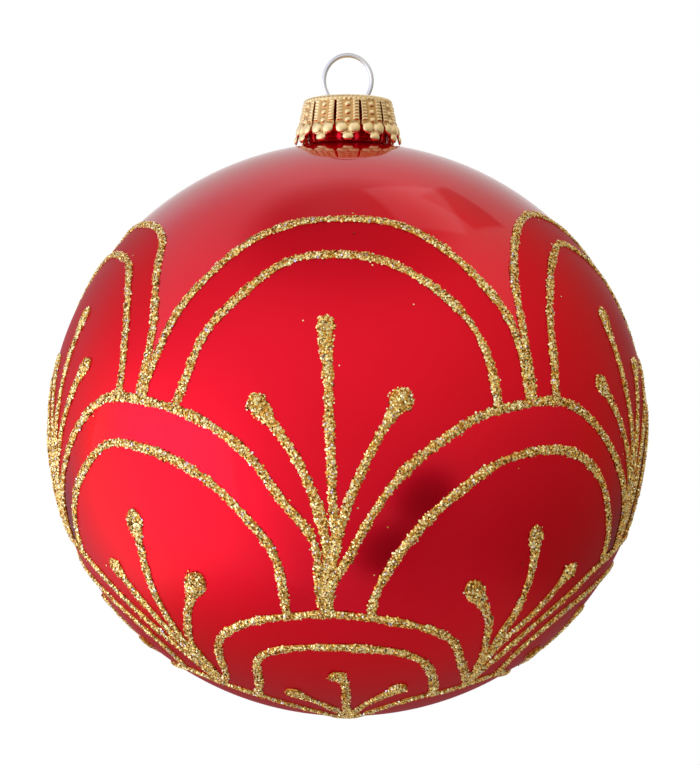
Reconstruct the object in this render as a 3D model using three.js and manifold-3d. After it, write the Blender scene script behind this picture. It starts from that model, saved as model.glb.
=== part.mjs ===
// Glass ball ornament: a silvered glass ball with scallops drawn in glitter, a crown cap and a wire hanger.
// Lengths are millimetres, angles are degrees and +Z is up. The origin is the hang point, the inside top
// of the wire loop. Every piece is first placed about the ball's centre, and one group then lowers them all.
import * as THREE from 'three';
import { mergeVertices } from 'three/addons/utils/BufferGeometryUtils.js';
import Module from 'manifold-3d';

const wasm = await Module();
wasm.setup();

// The glass ball, which is a little flatter than it is wide, and its neck.
const BALL_WIDTH = 120;
const BALL_HEIGHT = 114.8;
const GLASS_WALL = 0.8;
const NECK_WIDTH = 15.8;
const NECK_HEIGHT = 8;
const NECK_FILLET = 1.2;

// The crown cap: a stamped sheet with tabs that stand around the neck.
const CAP_SHEET = 0.35;
const CAP_SEAT_GAP = 0.3;
const CAP_SIDE_GAP = 0.35;
const CAP_SHOULDER = 0.9;
const CAP_FLARE = 1.5;
const CAP_TABS = 12;
const ROUNDING = 0.3;
const SLIT_WIDTH = 0.4;
const SLIT_START = 1.3;
const PAIR_BEAD_WIDTH = 2.2;
const PAIR_BEAD_SPACING = 2.64;
const PAIR_BEAD_RISE = 2.1;
const TIP_BEAD_WIDTH = 2.2;
const TIP_BEAD_HEIGHT = 1.8;
const BEAD_ROOT = 0.3;
const TIP_GAP = 0.35;

// The hanger: one wire, bent to a loop whose two legs pass through the cap into the neck.
const WIRE_WIDTH = 0.85;
const LOOP_WIDTH = 10.3;
const LOOP_PINCH = 27.5;
const HOLE_SPACING = 6.7;
const HOLE_GAP = 0.45;
const LEG_DEPTH = 20;
const LEG_SPREAD_DEPTH = 6;
const LEG_SIDE_GAP = 0.35;

// The glitter lines: low beads of glue and flakes that lie on the glass.
const LINE_WIDTH = 1.8;
const LINE_HEIGHT = 0.8;
const GLUE_GAP = 0.3;
const JOIN_GAP = 0.3;
const SCALES_PER_ROW = 6;
// Between the middles of the two lines that come together at a foot.
const FOOT_SPACING = 0.7;
const PATTERN_TURN = -2.3;
const INNER_DROP = 7;
const SPRAY_SPREAD = 10;
const SPRAY_CURL = 2.3;
const HEAD_SWELL = 1.1;
const HEAD_MIDDLE = 0.92;
const HEAD_LENGTH = 0.12;
const SPRAY_FOOT_LIFT = 3;
const SIDE_STROKE_START = 0.3;

// Latitudes at which each row's outer arches have their tops. A row's feet stand on the row below.
const ROW_TOPS = [48.2, 16.5, -14, -37.6];
const LAST_FEET = -60;
// How a row's arches are drawn: exponents of the curve, and an inner arch's half width in degrees of
// longitude. A larger shoulder squares the arch, and a smaller fall keeps it high for longer before it
// drops to its feet.
const OUTER_ARCHES = [
  { shoulder: 2.6, fall: 0.4 },
  { shoulder: 2.4, fall: 0.75 },
  { shoulder: 2.2, fall: 0.7 },
  { shoulder: 2.2, fall: 0.7 },
];
const INNER_ARCHES = [
  { half: 24.2, shoulder: 2.2, fall: 0.46 },
  { half: 24, shoulder: 2.2, fall: 0.5 },
  { half: 21, shoulder: 2.2, fall: 0.5 },
];
// A spray's heads, as shares of the row's height below the row's top.
const MIDDLE_HEAD_SHARE = 0.6;
const SIDE_HEAD_SHARE = 0.93;

// Facets, and how close two corners are merged.
const WELD = 1e-4;
const BALL_SEGMENTS = 36;
const OUTER_BANDS = 16;
const INNER_BANDS = 12;
const FILLET_BANDS = 3;
const CAP_SEGMENTS = CAP_TABS * 2;
const HOLE_SIDES = 12;
const WIRE_SIDES = 8;
const LOOP_POINTS = 6;
const SPREAD_POINTS = 4;
const WIRE_STEPS = 60;
const OUTER_STEPS = 14;
const INNER_STEPS = 12;
const STROKE_STEPS = 5;
// A stroke's steps crowd towards its head by this exponent.
const STEP_CROWDING = 1.5;
// Share of a path over which its direction is measured.
const NUDGE = 1e-3;

const redGlass = new THREE.MeshStandardMaterial({ color: 0xb5121f, roughness: 0.15, metalness: 0.85 });
const goldGlitter = new THREE.MeshStandardMaterial({ color: 0xa9862f, roughness: 0.55, metalness: 0.5 });
const goldSheet = new THREE.MeshStandardMaterial({ color: 0xd8b878, roughness: 0.4, metalness: 0.9 });
const steelWire = new THREE.MeshStandardMaterial({ color: 0xc9c9c6, roughness: 0.3, metalness: 1 });

// ---- Sizes worked out from the driving ones ----

const ballRadius = BALL_WIDTH / 2;
const ballHalfHeight = BALL_HEIGHT / 2;
const neckRadius = NECK_WIDTH / 2;
const boreRadius = neckRadius - GLASS_WALL;

/** Height of an ellipsoid of revolution's upper half at a distance from its axis. */
function domeHeight(halfWidth, halfHeight, radius) {
  return halfHeight * Math.sqrt(1 - (radius / halfWidth) ** 2);
}

const neckRimZ = domeHeight(ballRadius, ballHalfHeight, neckRadius) + NECK_HEIGHT;
const plateUnderZ = neckRimZ + CAP_SEAT_GAP;
const plateTopZ = plateUnderZ + CAP_SHEET;
const plateMiddleZ = plateUnderZ + CAP_SHEET / 2;

const capRadius = neckRadius + CAP_SIDE_GAP + CAP_SHEET;
const tipRadius = capRadius + CAP_FLARE;
const tipZ = domeHeight(ballRadius, ballHalfHeight, tipRadius) + TIP_GAP + TIP_BEAD_HEIGHT / 2;
const pairZ = tipZ + PAIR_BEAD_RISE;

const wireRadius = WIRE_WIDTH / 2;
const loopRadius = LOOP_WIDTH / 2 - wireRadius;
const pinch = THREE.MathUtils.degToRad(LOOP_PINCH);
const shoulderX = loopRadius * Math.cos(pinch);
const waistX = HOLE_SPACING / 2;
const loopCentreZ = plateMiddleZ + (shoulderX - waistX) / Math.tan(pinch) + loopRadius * Math.sin(pinch);
const legX = boreRadius - LEG_SIDE_GAP - wireRadius;
const hangZ = loopCentreZ + loopRadius - wireRadius;

// ---- Solids ----

/** A geometry with only positions, its shared vertices merged and its collapsed triangles left out. */
function welded(geometry) {
  geometry.deleteAttribute('normal');
  geometry.deleteAttribute('uv');
  const closed = mergeVertices(geometry, WELD);
  const index = closed.getIndex().array;
  const kept = [];
  for (let i = 0; i < index.length; i += 3) {
    const [a, b, c] = index.slice(i, i + 3);
    if (a !== b && b !== c && c !== a) kept.push(a, b, c);
  }
  closed.setIndex(kept);
  closed.computeVertexNormals();
  return closed;
}

/** A profile of (radius, height) points turned about Z. Its first point's side of the seam faces -Y. */
function turned(profile, segments) {
  return welded(new THREE.LatheGeometry(profile, segments).rotateX(Math.PI / 2));
}

function toSolid(geometry) {
  const closed = welded(geometry);
  return new wasm.Manifold(new wasm.Mesh({
    numProp: 3,
    vertProperties: new Float32Array(closed.getAttribute('position').array),
    triVerts: new Uint32Array(closed.getIndex().array),
  }));
}

function toGeometry(solid) {
  const mesh = solid.getMesh();
  const geometry = new THREE.BufferGeometry();
  geometry.setAttribute('position', new THREE.BufferAttribute(mesh.vertProperties, 3));
  geometry.setIndex(new THREE.BufferAttribute(mesh.triVerts, 1));
  geometry.computeVertexNormals();
  return geometry;
}

function joined(solids) {
  return solids.reduce((whole, next) => whole.add(next));
}

function named(name, geometry, material) {
  const mesh = new THREE.Mesh(geometry, material);
  mesh.name = name;
  return mesh;
}

// ---- Glass ball ----

/** Profile points up an ellipsoid, from its bottom on the axis to the height where it reaches a radius. */
function domeProfile(halfWidth, halfHeight, endRadius, bands) {
  const end = Math.acos(endRadius / halfWidth);
  const points = [];
  for (let i = 0; i <= bands; i++) {
    const angle = THREE.MathUtils.lerp(-Math.PI / 2, end, i / bands);
    const radius = i === 0 ? 0 : halfWidth * Math.cos(angle);
    points.push(new THREE.Vector2(radius, halfHeight * Math.sin(angle)));
  }
  return points;
}

/** Profile points of the hollow fillet that turns from the ball's shoulder, at foot, up into the neck. */
function filletProfile(foot) {
  const points = [];
  for (let i = 1; i <= FILLET_BANDS; i++) {
    const angle = (Math.PI / 2) * (i / FILLET_BANDS);
    const inward = NECK_FILLET * Math.sin(angle);
    const upward = NECK_FILLET * (1 - Math.cos(angle));
    points.push(new THREE.Vector2(foot.x - inward, foot.y + upward));
  }
  return points;
}

function ballSkin(halfWidth, halfHeight, tubeRadius, bands) {
  const dome = domeProfile(halfWidth, halfHeight, tubeRadius + NECK_FILLET, bands);
  return [...dome, ...filletProfile(dome[bands]), new THREE.Vector2(tubeRadius, neckRimZ)];
}

function makeBall() {
  const outside = ballSkin(ballRadius, ballHalfHeight, neckRadius, OUTER_BANDS);
  const inside = ballSkin(ballRadius - GLASS_WALL, ballHalfHeight - GLASS_WALL, boreRadius, INNER_BANDS);
  const profile = [...outside, ...inside.reverse()];
  return named('glass_ball', turned(profile, BALL_SEGMENTS), redGlass);
}

// ---- Crown cap ----

/** Outline of the slit between two tabs, and of the notch below it that shapes their tips. */
function slitOutline() {
  const slit = SLIT_WIDTH / 2;
  const tabPitch = (2 * Math.PI * tipRadius) / CAP_TABS;
  const notch = (tabPitch - TIP_BEAD_WIDTH) / 2;
  const below = tipZ - 2 * TIP_BEAD_HEIGHT;
  return new THREE.Shape([
    new THREE.Vector2(-slit, plateTopZ - SLIT_START),
    new THREE.Vector2(-slit, pairZ - PAIR_BEAD_WIDTH / 4),
    new THREE.Vector2(-notch, tipZ + TIP_BEAD_HEIGHT / 4),
    new THREE.Vector2(-notch, below),
    new THREE.Vector2(notch, below),
    new THREE.Vector2(notch, tipZ + TIP_BEAD_HEIGHT / 4),
    new THREE.Vector2(slit, pairZ - PAIR_BEAD_WIDTH / 4),
    new THREE.Vector2(slit, plateTopZ - SLIT_START),
  ]);
}

/** A prism that cuts one slit: its outline stands upright and runs outwards along -Y, then turns about Z. */
function slitCutter(turn) {
  const prism = new THREE.ExtrudeGeometry(slitOutline(), { depth: 2 * tipRadius, bevelEnabled: false });
  prism.rotateX(Math.PI / 2);
  prism.rotateZ(turn);
  return toSolid(prism);
}

/** A bead on the skirt, standing out of the sheet's outer face and rooted in its thickness. */
function skirtBead(turn, offset, radius, z, width, height) {
  const bead = new THREE.IcosahedronGeometry(1, 0);
  const depth = width / 4;
  bead.scale(width / 2, depth, height / 2);
  bead.translate(offset, -(radius + depth - BEAD_ROOT), z);
  bead.rotateZ(turn);
  return toSolid(bead);
}

/** Outer radius of the skirt at a height: it widens in a straight line from the shoulder to the tips. */
function skirtRadius(z) {
  const shoulderZ = plateTopZ - CAP_SHOULDER;
  return THREE.MathUtils.mapLinear(z, shoulderZ, tipZ, capRadius, tipRadius);
}

function makeCap() {
  const outside = [
    new THREE.Vector2(tipRadius, tipZ),
    new THREE.Vector2(capRadius, plateTopZ - CAP_SHOULDER),
    new THREE.Vector2(capRadius - ROUNDING * CAP_SHOULDER, plateTopZ - ROUNDING * CAP_SHOULDER),
    new THREE.Vector2(capRadius - CAP_SHOULDER, plateTopZ),
    new THREE.Vector2(0, plateTopZ),
  ];
  const inside = [
    new THREE.Vector2(0, plateUnderZ),
    new THREE.Vector2(capRadius - CAP_SHEET, plateUnderZ),
    new THREE.Vector2(capRadius - CAP_SHEET, plateTopZ - CAP_SHOULDER),
    new THREE.Vector2(tipRadius - CAP_SHEET, tipZ),
  ];
  let cap = toSolid(turned([...inside, ...outside], CAP_SEGMENTS));
  const pitch = (2 * Math.PI) / CAP_TABS;
  const pairOffset = PAIR_BEAD_SPACING / 2;
  const beads = [];
  for (let tab = 0; tab < CAP_TABS; tab++) {
    const turn = tab * pitch;
    for (const side of [-1, 1]) {
      const radius = skirtRadius(pairZ);
      beads.push(skirtBead(turn, side * pairOffset, radius, pairZ, PAIR_BEAD_WIDTH, PAIR_BEAD_WIDTH));
    }
    beads.push(skirtBead(turn, 0, tipRadius, tipZ, TIP_BEAD_WIDTH, TIP_BEAD_HEIGHT));
    cap = cap.subtract(slitCutter(turn + pitch / 2));
  }
  cap = joined([cap, ...beads]);
  for (const side of [-1, 1]) {
    cap = cap.subtract(wireHole(side * waistX));
  }
  return named('crown_cap', toGeometry(cap), goldSheet);
}

/** A round plug that cuts one of the hanger's holes through the cap's top plate. */
function wireHole(x) {
  const radius = wireRadius + HOLE_GAP;
  const plug = new THREE.CylinderGeometry(radius, radius, 4 * CAP_SHEET, HOLE_SIDES);
  plug.rotateX(Math.PI / 2);
  plug.translate(x, 0, plateMiddleZ);
  return toSolid(plug);
}

// ---- Wire hanger ----

/**
 * Points along the wire: up one leg, through its hole, round the loop and down the other leg. A leg is
 * straight beside the wall of the bore, then eases in to the waist where it passes through the cap.
 */
function wirePoints() {
  const half = [[legX, -LEG_DEPTH], [legX, -(LEG_DEPTH + LEG_SPREAD_DEPTH) / 2]];
  for (let i = SPREAD_POINTS; i >= 0; i--) {
    const share = i / SPREAD_POINTS;
    const spread = Math.sin((Math.PI / 2) * share) ** 2;
    half.push([THREE.MathUtils.lerp(waistX, legX, spread), -LEG_SPREAD_DEPTH * share]);
  }
  for (let i = 0; i <= LOOP_POINTS; i++) {
    const angle = THREE.MathUtils.lerp(-pinch, Math.PI / 2, i / LOOP_POINTS);
    const rise = loopCentreZ - plateMiddleZ + loopRadius * Math.sin(angle);
    half.push([loopRadius * Math.cos(angle), rise]);
  }
  const mirrored = half.slice(0, -1).reverse().map(([x, rise]) => [-x, rise]);
  return [...half, ...mirrored].map(([x, rise]) => new THREE.Vector3(x, 0, plateMiddleZ + rise));
}

function makeHanger() {
  const section = new THREE.Shape().absarc(0, 0, wireRadius, 0, 2 * Math.PI);
  const path = new THREE.CatmullRomCurve3(wirePoints(), false, 'centripetal');
  const wire = new THREE.ExtrudeGeometry(section, {
    curveSegments: WIRE_SIDES / 2,
    steps: WIRE_STEPS,
    extrudePath: path,
  });
  return named('wire_hanger', welded(wire), steelWire);
}

// ---- Glitter lines ----

/** A point on the ball at a longitude, counted from the front, and a latitude. */
function onBall(longitude, latitude) {
  const turn = THREE.MathUtils.degToRad(longitude + PATTERN_TURN);
  const rise = THREE.MathUtils.degToRad(latitude);
  const radius = ballRadius * Math.cos(rise);
  const height = ballHalfHeight * Math.sin(rise);
  return new THREE.Vector3(radius * Math.sin(turn), -radius * Math.cos(turn), height);
}

function ballNormal(point) {
  const flat = ballRadius ** 2;
  return new THREE.Vector3(point.x / flat, point.y / flat, point.z / ballHalfHeight ** 2).normalize();
}

/**
 * A low bead laid on the ball along a path, which gives [longitude, latitude] for a share from 0 to 1.
 * The bead is first a straight extrusion of its section, one unit long. Each of its corners then moves to
 * the frame of the path at its share: sideways along the glass, and outwards along the ball's normal.
 */
function layBead(path, steps, { width, low, high }, swell = () => 1) {
  const section = new THREE.Shape([
    new THREE.Vector2(-width / 2, low),
    new THREE.Vector2(width / 2, low),
    new THREE.Vector2(width / 4, high),
    new THREE.Vector2(-width / 4, high),
  ]);
  const bead = new THREE.ExtrudeGeometry(section, { depth: 1, steps, bevelEnabled: false });
  const corners = bead.getAttribute('position');
  for (let i = 0; i < corners.count; i++) {
    const share = corners.getZ(i);
    const foot = onBall(...path(share));
    const before = onBall(...path(Math.max(share - NUDGE, 0)));
    const after = onBall(...path(Math.min(share + NUDGE, 1)));
    const out = ballNormal(foot);
    const side = new THREE.Vector3().crossVectors(out, after.sub(before)).normalize();
    const corner = foot.addScaledVector(side, corners.getX(i) * swell(share));
    corner.addScaledVector(out, corners.getY(i));
    corners.setXYZ(i, corner.x, corner.y, corner.z);
  }
  return toSolid(bead);
}

const line = { width: LINE_WIDTH, low: GLUE_GAP, high: GLUE_GAP + LINE_HEIGHT };
// A fatter line that clears its neighbours: what it overlaps is cut back to leave the gap of a join.
const clearance = { width: LINE_WIDTH + 4 * JOIN_GAP, low: 0, high: GLUE_GAP + LINE_HEIGHT + JOIN_GAP };

const scalePitch = 360 / SCALES_PER_ROW;
const outerHalf = scalePitch / 2 - THREE.MathUtils.radToDeg(FOOT_SPACING / 2 / ballRadius);
const rowLevels = [...ROW_TOPS, LAST_FEET];

/** Longitude of a scale's middle. Every second row is turned by half a scale. */
function scaleMiddle(row, scale) {
  return scalePitch * (scale + (row % 2) / 2);
}

/** An arch as a path from its left foot to its right one. */
function arch(middle, half, top, foot, { shoulder, fall }) {
  return (share) => {
    const angle = Math.PI * (share - 0.5);
    const across = Math.sign(share - 0.5) * Math.abs(Math.sin(angle)) ** (2 / shoulder);
    const height = Math.max(Math.cos(angle), 0) ** (2 * fall);
    return [middle + half * across, foot + (top - foot) * height];
  };
}

/** Latitude of a row's outer arches at an offset in longitude from their middle. */
function outerLatitude(row, offset) {
  const { shoulder, fall } = OUTER_ARCHES[row];
  const foot = rowLevels[row + 1];
  return foot + (rowLevels[row] - foot) * (1 - (Math.abs(offset) / outerHalf) ** shoulder) ** fall;
}

/** The joined outer arches of one row, as lines or as the fatter shape that clears them. */
function outerArches(row, size) {
  const [top, foot] = rowLevels.slice(row, row + 2);
  const arches = [];
  for (let scale = 0; scale < SCALES_PER_ROW; scale++) {
    const path = arch(scaleMiddle(row, scale), outerHalf, top, foot, OUTER_ARCHES[row]);
    arches.push(layBead(path, OUTER_STEPS, size));
  }
  return joined(arches);
}

function innerArch(row, scale) {
  const { half, shoulder, fall } = INNER_ARCHES[row];
  const foot = outerLatitude(row + 1, scalePitch / 2 - half);
  const path = arch(scaleMiddle(row, scale), half, rowLevels[row] - INNER_DROP, foot, { shoulder, fall });
  return layBead(path, INNER_STEPS, line);
}

/** One stroke of a spray, from its foot where the arches of the next row meet, up to its swollen head. */
function sprayStroke(row, scale, spread, headShare) {
  const height = rowLevels[row] - rowLevels[row + 1];
  const foot = rowLevels[row + 2] + SPRAY_FOOT_LIFT;
  const head = rowLevels[row] - headShare * height;
  const middle = scaleMiddle(row, scale);
  const start = spread === 0 ? 0 : SIDE_STROKE_START;
  const path = (share) => {
    const along = start + (1 - start) * (1 - (1 - share) ** STEP_CROWDING);
    return [middle + spread * along ** SPRAY_CURL, THREE.MathUtils.lerp(foot, head, along)];
  };
  const swell = (share) => 1 + HEAD_SWELL * Math.exp(-(((share - HEAD_MIDDLE) / HEAD_LENGTH) ** 2));
  return layBead(path, STROKE_STEPS, line, swell);
}

function spray(row, scale) {
  return joined([
    sprayStroke(row, scale, -SPRAY_SPREAD, SIDE_HEAD_SHARE),
    sprayStroke(row, scale, 0, MIDDLE_HEAD_SHARE),
    sprayStroke(row, scale, SPRAY_SPREAD, SIDE_HEAD_SHARE),
  ]);
}

function makeGlitter() {
  const meshes = [];
  const lastRow = ROW_TOPS.length - 1;
  for (let row = 0; row <= lastRow; row++) {
    const label = `row_${row + 1}`;
    const clear = row < lastRow ? outerArches(row + 1, clearance) : null;
    const fitted = (solid) => toGeometry(clear ? solid.subtract(clear) : solid);
    meshes.push(named(`${label}_scallops`, fitted(outerArches(row, line)), goldGlitter));
    if (row === lastRow) break;
    for (let scale = 0; scale < SCALES_PER_ROW; scale++) {
      meshes.push(named(`${label}_inner_arch_${scale + 1}`, fitted(innerArch(row, scale)), goldGlitter));
      meshes.push(named(`${label}_spray_${scale + 1}`, fitted(spray(row, scale)), goldGlitter));
    }
  }
  return meshes;
}

// ---- Assembly ----

const ornament = new THREE.Group();
ornament.name = 'glass_ball_ornament';
const aboutBallCentre = new THREE.Group();
aboutBallCentre.position.z = -hangZ;
aboutBallCentre.add(makeHanger(), makeCap(), makeBall(), ...makeGlitter());
ornament.add(aboutBallCentre);

export default ornament;
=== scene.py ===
"""A silvered glass ball ornament, with scallops drawn in gold glitter, hung by its wire loop.

Lengths are millimetres about the ball's centre and angles are degrees until a mesh is made. The row frame
is in metres, with its origin at the hang point. Longitudes are counted from the front, which faces -Y.
"""
import logging
import math
from collections.abc import Iterator
from dataclasses import dataclass, field
from enum import Enum

import bpy
import numpy as np
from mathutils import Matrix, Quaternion, Vector


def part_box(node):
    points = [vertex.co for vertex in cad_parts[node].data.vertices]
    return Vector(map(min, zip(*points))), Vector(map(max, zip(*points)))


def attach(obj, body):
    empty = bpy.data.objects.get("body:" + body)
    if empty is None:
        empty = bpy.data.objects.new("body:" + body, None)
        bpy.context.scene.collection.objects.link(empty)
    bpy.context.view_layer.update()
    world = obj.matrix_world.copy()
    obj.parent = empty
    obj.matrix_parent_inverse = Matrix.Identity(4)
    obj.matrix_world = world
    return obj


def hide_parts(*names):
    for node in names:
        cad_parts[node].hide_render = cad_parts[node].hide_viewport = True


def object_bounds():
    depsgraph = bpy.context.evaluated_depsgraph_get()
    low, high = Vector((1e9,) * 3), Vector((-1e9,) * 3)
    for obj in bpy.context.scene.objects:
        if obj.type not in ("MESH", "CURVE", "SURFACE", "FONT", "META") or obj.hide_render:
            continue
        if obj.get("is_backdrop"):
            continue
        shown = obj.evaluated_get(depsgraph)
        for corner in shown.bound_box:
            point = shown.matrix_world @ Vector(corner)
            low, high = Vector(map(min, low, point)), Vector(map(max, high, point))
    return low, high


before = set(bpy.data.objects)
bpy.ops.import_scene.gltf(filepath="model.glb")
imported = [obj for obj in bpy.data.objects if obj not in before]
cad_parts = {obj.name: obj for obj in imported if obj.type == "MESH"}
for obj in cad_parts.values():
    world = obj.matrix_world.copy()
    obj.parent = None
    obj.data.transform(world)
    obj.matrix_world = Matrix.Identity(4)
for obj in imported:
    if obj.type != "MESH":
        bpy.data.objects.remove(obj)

CAD_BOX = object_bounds()
MM = 0.001
log = logging.getLogger("ornament")

Array = np.ndarray


# ---- Colours, nodes and meshes ----


def linear(hex_code: str) -> tuple[float, float, float, float]:
    """Turns an sRGB hex colour into linear numbers.

    Args:
        hex_code: The colour, such as "#C0A040".

    Returns:
        Linear red, green and blue, and an alpha of 1.
    """
    channels = [int(hex_code[i : i + 2], 16) / 255 for i in (1, 3, 5)]
    red, green, blue = (
        c / 12.92 if c <= 0.04045 else ((c + 0.055) / 1.055) ** 2.4 for c in channels
    )
    return red, green, blue, 1.0


def add_node(
    tree: bpy.types.NodeTree,
    kind: str,
    settings: dict[str, object] | None = None,
    inputs: dict[str | int, object] | None = None,
) -> bpy.types.Node:
    """Adds a node with its settings, its input values and its links.

    Args:
        tree: The tree that gets the node.
        kind: The node's type name, without "ShaderNode" before it.
        settings: Attributes of the node itself.
        inputs: Per input, by name or number, a value or the output socket that feeds it.

    Returns:
        The new node.
    """
    node = tree.nodes.new("ShaderNode" + kind)
    for name, value in (settings or {}).items():
        setattr(node, name, value)
    for key, value in (inputs or {}).items():
        if isinstance(value, bpy.types.NodeSocket):
            tree.links.new(value, node.inputs[key])
        else:
            node.inputs[key].default_value = value
    return node


def new_material(name: str) -> tuple[bpy.types.Material, bpy.types.NodeTree]:
    """Makes an empty node material, and returns it and its tree."""
    material = bpy.data.materials.new(name)
    material.use_nodes = True
    material.node_tree.nodes.clear()
    return material, material.node_tree


def place(name: str, data: bpy.types.ID) -> bpy.types.Object:
    """Makes an object of some data, at the origin, and puts it into the scene."""
    made = bpy.data.objects.new(name, data)
    bpy.context.scene.collection.objects.link(made)
    return made


def unit(vectors: Array) -> Array:
    """Scales each vector to a length of one."""
    return vectors / np.linalg.norm(vectors, axis=-1, keepdims=True)


@dataclass
class Shape:
    """The corners and faces of a mesh while it is being put together.

    Corners are millimetres about the ball's centre. Faces are kept in groups with equal numbers of
    corners, and each face has the number of its material.
    """

    corners: list[Array] = field(default_factory=list)
    faces: list[Array] = field(default_factory=list)
    finishes: list[Array] = field(default_factory=list)
    count: int = 0

    def add(self, corners: Array, groups: list[Array], finishes: list[Array] | int = 0) -> None:
        """Adds corners, and the faces between them.

        Args:
            corners: An array of places, one row each.
            groups: Arrays of corner numbers, one row for each face, counted within these corners.
            finishes: One material number for all, or an array for each group.
        """
        for i, group in enumerate(groups):
            given = finishes if isinstance(finishes, int) else finishes[i]
            self.faces.append(group + self.count)
            self.finishes.append(np.broadcast_to(given, len(group)))
        self.corners.append(corners)
        self.count += len(corners)

    def triangles(self) -> int:
        """Counts the triangles that the faces make."""
        return sum(len(group) * (group.shape[1] - 2) for group in self.faces)

    def piece(
        self, name: str, lift: float, materials: list[bpy.types.Material], smooth: bool = True
    ) -> bpy.types.Object:
        """Makes the mesh and its object, at the origin, with its place in its mesh.

        Args:
            name: The object's name.
            lift: Height of the ball's centre in the row frame, in millimetres.
            materials: The materials that the faces' numbers stand for.
            smooth: Whether the faces are shaded smooth.

        Returns:
            The new object.
        """
        corners = (np.vstack(self.corners) + [0, 0, lift]) * MM
        loops = np.concatenate([group.ravel() for group in self.faces])
        sizes = np.concatenate([np.full(len(g), g.shape[1]) for g in self.faces])
        starts = np.concatenate([[0], np.cumsum(sizes)[:-1]])
        mesh = bpy.data.meshes.new(name)
        mesh.vertices.add(len(corners))
        mesh.vertices.foreach_set("co", corners.astype(np.float32).ravel())
        mesh.loops.add(len(loops))
        mesh.loops.foreach_set("vertex_index", loops.astype(np.int32))
        mesh.polygons.add(len(sizes))
        mesh.polygons.foreach_set("loop_start", starts.astype(np.int32))
        for material in materials:
            mesh.materials.append(material)
        mesh.polygons.foreach_set("material_index", np.concatenate(self.finishes).astype(np.int32))
        mesh.update(calc_edges=True)
        mesh.polygons.foreach_set("use_smooth", np.full(len(sizes), smooth))
        mesh.validate()
        return place(name, mesh)


def grid_faces(rows: int, columns: int, closed: bool) -> Array:
    """Quads of a grid whose corners are numbered along each row in turn.

    Args:
        rows: Number of corners down.
        columns: Number of corners across.
        closed: Whether the last column joins the first.

    Returns:
        Corner numbers, one row for each quad. With rows that climb and columns that run to the left
        as seen from outside, the quads face out.
    """
    across = np.arange(columns if closed else columns - 1)
    first = np.arange(rows - 1)[:, None] * columns
    after = (across + 1) % columns
    above = first + columns
    quads = np.stack([first + across, first + after, above + after, above + across], -1)
    return quads.reshape(-1, 4)


def travelled(points: Array) -> Array:
    """Distance from the first point to each point, along them."""
    return np.concatenate([[0], np.cumsum(np.linalg.norm(np.diff(points, axis=0), axis=1))])


def along_path(values: Array, distance: Array, at: Array) -> Array:
    """Rows of values that stand at distances, read at other distances."""
    return np.stack([np.interp(at, distance, column) for column in values.T], 1)


def wander(rng: np.random.Generator, distance: Array, spacing: float, reach: float) -> Array:
    """Smooth random values along a distance.

    Normal draws stand at knots a spacing apart. Between two knots the value goes from one to the next
    by half a cosine wave.

    Args:
        rng: The source of the draws.
        distance: Where the values are wanted, from zero up.
        spacing: Distance between knots.
        reach: Standard deviation of the values.

    Returns:
        A value for each distance.
    """
    place = distance / spacing
    below = np.floor(place).astype(int)
    knots = rng.normal(0, reach, int(below.max()) + 2)
    share = (1 - np.cos(np.pi * (place - below))) / 2
    return knots[below] * (1 - share) + knots[below + 1] * share


# ---- Finishes ----

# Name of the attribute that says how much painted shade each corner of the cap gets.
SHADE_ATTRIBUTE = "painted_shade"


def mottled_metal(
    name: str,
    tones: tuple[str, str],
    sizes: tuple[float, float],
    bump: tuple[float, float],
    skin: dict[str, object],
    painted_shade: str = "",
) -> bpy.types.Material:
    """Makes a metal with soft patches in its colour and fine marks in its surface.

    Args:
        name: The material's name.
        tones: The patches' two colours.
        sizes: Width of the patches and of the marks, in millimetres.
        bump: Strength of the marks, and their depth in millimetres.
        skin: Further inputs of the surface, its roughness among them.
        painted_shade: Colour of the painted shade, laid on by the share in the shade attribute, if any.

    Returns:
        The material.
    """
    material, tree = new_material(name)
    where = add_node(tree, "TexCoord").outputs["Object"]
    patches, marks = (
        add_node(tree, "TexNoise", None, {"Vector": where, "Scale": 1 / (size * MM), "Detail": detail})
        for size, detail in zip(sizes, (3.0, 2.0))
    )
    rgba = {"data_type": "RGBA"}
    mix = {0: patches.outputs["Fac"], 6: linear(tones[0]), 7: linear(tones[1])}
    colour = add_node(tree, "Mix", rgba, mix)
    # Painted shade: the shade colour is mixed over the patches by the share in the attribute.
    if painted_shade:
        share = add_node(tree, "Attribute", {"attribute_name": SHADE_ATTRIBUTE}).outputs["Fac"]
        colour = add_node(tree, "Mix", rgba, {0: share, 6: colour.outputs[2], 7: linear(painted_shade)})
    relief = {"Strength": bump[0], "Distance": bump[1] * MM, "Height": marks.outputs["Fac"]}
    normal = add_node(tree, "Bump", None, relief).outputs[0]
    surface = {"Base Color": colour.outputs[2], "Metallic": 1.0, "Normal": normal, **skin}
    metal = add_node(tree, "BsdfPrincipled", None, surface)
    add_node(tree, "OutputMaterial", None, {"Surface": metal.outputs[0]})
    return material


@dataclass(frozen=True)
class RedLacquer:
    """Translucent red lacquer on glass that is silvered inside.

    The silvering shines back through the colour, so the red behaves as a metal whose reflections are
    spread by the lacquer's pigment. The lacquer's own skin lies over that as a clear coat: a glossy one
    mirrors the room sharply, and a satin one, which has a matting agent in it, only glows at its edge.
    """

    name: str
    red: str
    deep_red: str
    body_roughness: float
    skin_roughness: float
    skin_weight: float
    grain: float
    # Light that leaves at a glance has gone a long way through the pigment, and comes back darker.
    edge: str = "#480A14"
    # Clouds in the hand-dipped colour are about 14 mm across, and the matting grain about 0.25 mm.
    cloud_size: float = 14.0
    grain_size: float = 0.25
    grain_depth: float = 0.02
    skin_ior: float = 1.5

    def build(self) -> bpy.types.Material:
        """Makes the material."""
        skin = {
            "Roughness": self.body_roughness,
            "Specular Tint": linear(self.edge),
            "Coat Weight": self.skin_weight,
            "Coat Roughness": self.skin_roughness,
            "Coat IOR": self.skin_ior,
        }
        sizes = self.cloud_size, self.grain_size
        bump = self.grain, self.grain_depth
        return mottled_metal(self.name, (self.red, self.deep_red), sizes, bump, skin)


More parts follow.
